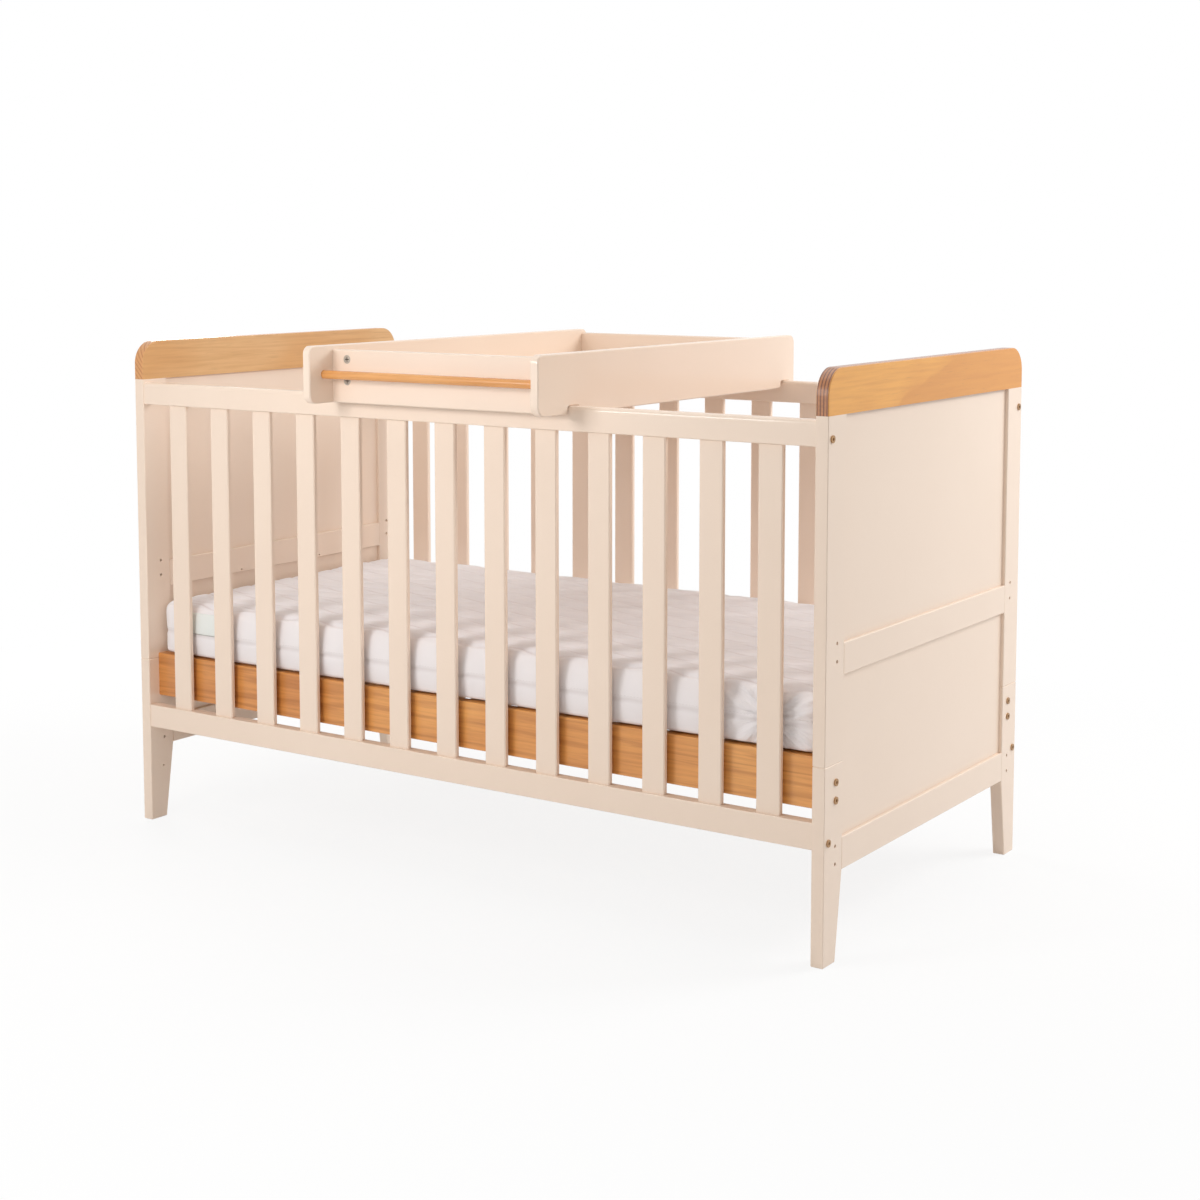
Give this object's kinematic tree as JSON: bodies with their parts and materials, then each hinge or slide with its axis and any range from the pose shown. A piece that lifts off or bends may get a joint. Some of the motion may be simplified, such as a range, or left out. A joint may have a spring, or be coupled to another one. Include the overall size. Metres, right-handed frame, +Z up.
{
  "type": "cot bed with changer",
  "caption": "Slatted cot bed with panelled ends, wooden top caps, a slatted base with a mattress, and a lift-off changer tray with a towel rail lying across its side rails.",
  "frame": {"origin": "on the floor, below the middle of the outline of the bed with its changer on", "axes": "+X along the bed towards its right end as seen from the front, +Y from the front side to the rear side, +Z up"},
  "size_m": [1.48, 0.848, 0.9325],
  "materials": {
    "painted_wood": "satin cream paint",
    "natural_wood": "clear satin lacquer",
    "dowel_wood": "clear gloss lacquer",
    "mattress_cover": "quilted white cover",
    "brass_fittings": "satin",
    "steel_fittings": "zinc plated"
  },
  "bodies": {
    "bed": {"base_barrel_nuts": "steel_fittings", "base_bolts": "brass_fittings", "base_slats": "natural_wood", "bottom_rail_left": "painted_wood", "bottom_rail_right": "painted_wood", "cap_dowels": "dowel_wood", "cap_left": "natural_wood", "cap_right": "natural_wood", "front_base_rail": "natural_wood", "front_bottom_rail": "painted_wood", "front_ledger": "natural_wood", "front_slat_01": "painted_wood", "front_slat_02": "painted_wood", "front_slat_03": "painted_wood", "front_slat_04": "painted_wood", "front_slat_05": "painted_wood", "front_slat_06": "painted_wood", "front_slat_07": "painted_wood", "front_slat_08": "painted_wood", "front_slat_09": "painted_wood", "front_slat_10": "painted_wood", "front_slat_11": "painted_wood", "front_slat_12": "painted_wood", "front_slat_13": "painted_wood", "front_top_rail": "painted_wood", "leg_dowels": "dowel_wood", "leg_front_left": "painted_wood", "leg_front_right": "painted_wood", "leg_rear_left": "painted_wood", "leg_rear_right": "painted_wood", "lower_panel_left": "painted_wood", "lower_panel_right": "painted_wood", "mid_rail_left": "painted_wood", "mid_rail_right": "painted_wood", "post_front_left": "painted_wood", "post_front_right": "painted_wood", "post_rear_left": "painted_wood", "post_rear_right": "painted_wood", "rear_base_rail": "natural_wood", "rear_bottom_rail": "painted_wood", "rear_ledger": "natural_wood", "rear_slats": "painted_wood", "rear_top_rail": "painted_wood", "side_barrel_nuts": "steel_fittings", "side_bolts": "brass_fittings", "side_dowels": "dowel_wood", "upper_panel_left": "painted_wood", "upper_panel_right": "painted_wood"},
    "mattress": {"mattress": "mattress_cover"},
    "changer": {"changer_back_board": "painted_wood", "changer_floor": "painted_wood", "changer_front_board": "painted_wood", "changer_left_board": "painted_wood", "changer_right_board": "painted_wood", "cam_locks": "steel_fittings", "cam_pins": "steel_fittings"},
    "towel_rail": {"towel_rail": "dowel_wood"}
  },
  "joints": [
    {"name": "changer_lift", "type": "slide", "parent": "bed", "child": "changer", "axis": [0, 0, 1], "range_m": [0, 0.25]},
    {"name": "mattress_lift", "type": "slide", "parent": "bed", "child": "mattress", "axis": [0, 0, 1], "range_m": [0, 0.39]},
    {"name": "towel_rail_spin", "type": "hinge", "parent": "changer", "child": "towel_rail", "pos_m": [0.0135, -0.387, 0.8825], "axis": [1, 0, 0], "continuous": true}
  ]
}
